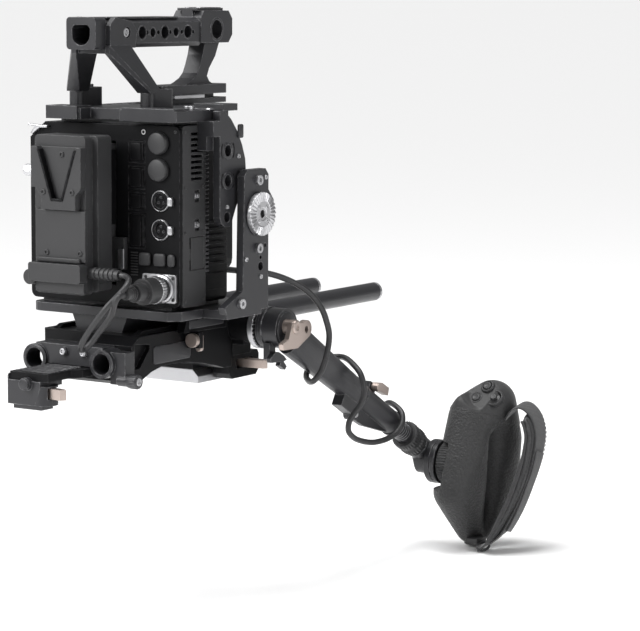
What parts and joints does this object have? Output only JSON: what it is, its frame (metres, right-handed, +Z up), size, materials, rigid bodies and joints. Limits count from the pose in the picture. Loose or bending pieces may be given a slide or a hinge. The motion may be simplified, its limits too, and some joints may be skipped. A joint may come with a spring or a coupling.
{
  "type": "cinema camera rig",
  "caption": "Box-shaped cinema camera in a cage with top handle, rod-mounted shoulder baseplate, battery plate, and a side grip with controls on a folding arm.",
  "frame": {"origin": "middle of the tripod dovetail plate's bottom face, on the axis of its large threaded hole", "axes": "+Y forwards towards the lens, +X to the camera's right (the side that carries the grip), +Z up"},
  "size_m": [0.2365, 0.4649, 0.4374],
  "materials": {
    "black_paint": "satin black paint over cast aluminium",
    "black_anodised": "fine bead-blasted black anodising, bright at worn edges",
    "dark_plastic": "finely grained dark grey moulded plastic",
    "grip_rubber": "grained soft rubber skin",
    "strap_fabric": "padded black webbing and woven nylon",
    "silver_metal": "turned and brushed bare metal",
    "tan_metal": "warm grey-tan anodising",
    "cable_rubber": "smooth matt black cable jacket",
    "circuit_board": "green solder mask",
    "sensor_glass": "dark coated cover glass on a black carrier"
  },
  "bodies": {
    "root": {"camera_casing": "black_paint", "rear_panel": "black_paint", "vent_panel": "dark_plastic", "battery_adapter": "dark_plastic", "v_mount_plate": "dark_plastic", "terminal_caps": "dark_plastic", "xlr_sockets": "silver_metal", "dc_plug": "dark_plastic", "power_cable": "cable_rubber", "strain_relief": "dark_plastic", "lens_mount": "silver_metal", "sensor_module": "sensor_glass", "main_board": "circuit_board", "cage_top_plate": "black_anodised", "cage_side_plate": "black_anodised", "rosette_plate": "black_anodised", "rosettes": "silver_metal", "cage_bolts": "silver_metal", "camera_tray": "black_anodised", "riser_plate": "black_anodised", "baseplate_body": "black_paint", "rear_rod_clamp": "black_anodised", "rods": "black_anodised", "front_rod_clamp": "black_paint", "dovetail_plate": "silver_metal", "tail_bar": "black_paint", "tail_clamp": "black_anodised", "front_clamp": "black_paint", "handle_bar": "black_anodised", "handle_rear_leg": "black_anodised", "handle_front_leg": "black_anodised", "grip_cable_a": "cable_rubber"},
    "cooling_fan": {"cooling_fan": "dark_plastic"},
    "usb_door": {"usb_door": "black_paint"},
    "headphone_door": {"headphone_door": "black_paint"},
    "mic_door": {"mic_door": "black_paint"},
    "hdmi_door": {"hdmi_door": "black_paint"},
    "network_cover": {"network_cover": "dark_plastic"},
    "audio_switch_1": {"audio_switch_1": "silver_metal"},
    "audio_switch_2": {"audio_switch_2": "silver_metal"},
    "release_knob": {"release_knob": "tan_metal"},
    "tail_lever": {"tail_lever": "tan_metal"},
    "front_lever": {"front_lever": "tan_metal"},
    "base_lever": {"base_lever": "tan_metal"},
    "handle_lever": {"handle_lever": "silver_metal"},
    "arm": {"hub_disc": "black_anodised", "arm_outer": "black_anodised", "grip_cable_b": "cable_rubber"},
    "hub_lever": {"hub_lever": "tan_metal"},
    "ratchet_lever": {"ratchet_lever": "black_anodised"},
    "arm_lever": {"arm_lever": "tan_metal"},
    "extension": {"arm_inner": "black_anodised", "arm_end": "black_anodised"},
    "arm_collar": {"arm_collar": "black_anodised"},
    "grip": {"grip_body": "grip_rubber", "hand_strap": "strap_fabric"},
    "grip_wheel": {"grip_wheel": "dark_plastic"},
    "thumb_button_1": {"thumb_button_1": "dark_plastic"},
    "thumb_button_2": {"thumb_button_2": "dark_plastic"},
    "joystick": {"joystick": "dark_plastic"}
  },
  "joints": [
    {"name": "fan_spin", "type": "hinge", "parent": "root", "child": "cooling_fan", "pos_m": [0.054, -0.099, 0.177], "axis": [1, 0, 0], "continuous": true},
    {"name": "usb_door_hinge", "type": "hinge", "parent": "root", "child": "usb_door", "pos_m": [0.026, -0.1198, 0.179], "axis": [0, 0, 1], "range_deg": [-95, 0]},
    {"name": "headphone_door_hinge", "type": "hinge", "parent": "root", "child": "headphone_door", "pos_m": [0.026, -0.1198, 0.1605], "axis": [0, 0, 1], "range_deg": [-95, 0]},
    {"name": "mic_door_hinge", "type": "hinge", "parent": "root", "child": "mic_door", "pos_m": [0.026, -0.1198, 0.1435], "axis": [0, 0, 1], "range_deg": [-95, 0]},
    {"name": "hdmi_door_hinge", "type": "hinge", "parent": "root", "child": "hdmi_door", "pos_m": [0.026, -0.1198, 0.1222], "axis": [0, 0, 1], "range_deg": [-95, 0]},
    {"name": "network_cover_hinge", "type": "hinge", "parent": "root", "child": "network_cover", "pos_m": [0.0698, -0.0903, 0.1065], "axis": [0, 0, 1], "range_deg": [0, 100]},
    {"name": "audio_switch_1_slide", "type": "slide", "parent": "root", "child": "audio_switch_1", "axis": [0, 0, 1], "range_m": [-0.0015, 0.0015]},
    {"name": "audio_switch_2_slide", "type": "slide", "parent": "root", "child": "audio_switch_2", "axis": [0, 0, 1], "range_m": [-0.0015, 0.0015]},
    {"name": "release_knob_slide", "type": "slide", "parent": "root", "child": "release_knob", "axis": [1, 0, 0], "range_m": [0, 0.004], "stiffness_N_per_m": 250},
    {"name": "tail_lever_turn", "type": "hinge", "parent": "root", "child": "tail_lever", "pos_m": [0.0043, -0.1915, 0.0118], "axis": [0, 0, 1], "range_deg": [0, 60]},
    {"name": "front_lever_turn", "type": "hinge", "parent": "root", "child": "front_lever", "pos_m": [0.0365, 0.007, 0.0128], "axis": [0, 0, 1], "range_deg": [-35, 35]},
    {"name": "base_lever_turn", "type": "hinge", "parent": "root", "child": "base_lever", "pos_m": [0.0525, -0.074, 0.04], "axis": [0, 1, 0], "range_deg": [-70, 20]},
    {"name": "handle_lever_turn", "type": "hinge", "parent": "root", "child": "handle_lever", "pos_m": [0.0085, -0.01, 0.2145], "axis": [0, 0, 1], "range_deg": [0, 70]},
    {"name": "arm_swing", "type": "hinge", "parent": "root", "child": "arm", "pos_m": [0.083, -0.01, 0.044], "axis": [1, 0, 0], "range_deg": [-30, 60], "deforming": ["grip_cable_a", "grip_cable_b"]},
    {"name": "hub_lever_turn", "type": "hinge", "parent": "arm", "child": "hub_lever", "pos_m": [0.083, -0.01, 0.044], "axis": [1, 0, 0], "range_deg": [-60, 60]},
    {"name": "ratchet_lever_turn", "type": "hinge", "parent": "arm", "child": "ratchet_lever", "pos_m": [0.083, -0.019, 0.0252], "axis": [1, 0, 0], "range_deg": [-25, 5], "stiffness_Nm_per_rad": 0.05},
    {"name": "arm_lever_lift", "type": "hinge", "parent": "arm", "child": "arm_lever", "pos_m": [0.083, 0.12121, -0.01674], "axis": [1, 0, 0], "range_deg": [0, 60]},
    {"name": "arm_extend", "type": "slide", "parent": "arm", "child": "extension", "axis": [0, 0.866, -0.5], "range_m": [-0.018, 0.055], "deforming": ["grip_cable_b"]},
    {"name": "arm_collar_turn", "type": "hinge", "parent": "extension", "child": "arm_collar", "pos_m": [0.083, 0.18139, -0.0665], "axis": [0, 0.866, -0.5], "range_deg": [-60, 60]},
    {"name": "grip_tilt", "type": "hinge", "parent": "extension", "child": "grip", "pos_m": [0.097, 0.207, -0.088], "axis": [1, 0, 0], "range_deg": [-40, 60]},
    {"name": "grip_wheel_turn", "type": "hinge", "parent": "grip", "child": "grip_wheel", "pos_m": [0.107, 0.207, -0.088], "axis": [1, 0, 0], "continuous": true},
    {"name": "thumb_button_1_press", "type": "slide", "parent": "grip", "child": "thumb_button_1", "axis": [0, -0.7431, 0.6691], "range_m": [-0.001, 0], "stiffness_N_per_m": 300},
    {"name": "thumb_button_2_press", "type": "slide", "parent": "grip", "child": "thumb_button_2", "axis": [0, -0.7431, 0.6691], "range_m": [-0.001, 0], "stiffness_N_per_m": 300},
    {"name": "joystick_tilt", "type": "hinge", "parent": "grip", "child": "joystick", "pos_m": [0.1386, 0.223, -0.034], "axis": [1, 0, 0], "range_deg": [-12, 12], "stiffness_Nm_per_rad": 0.02}
  ]
}
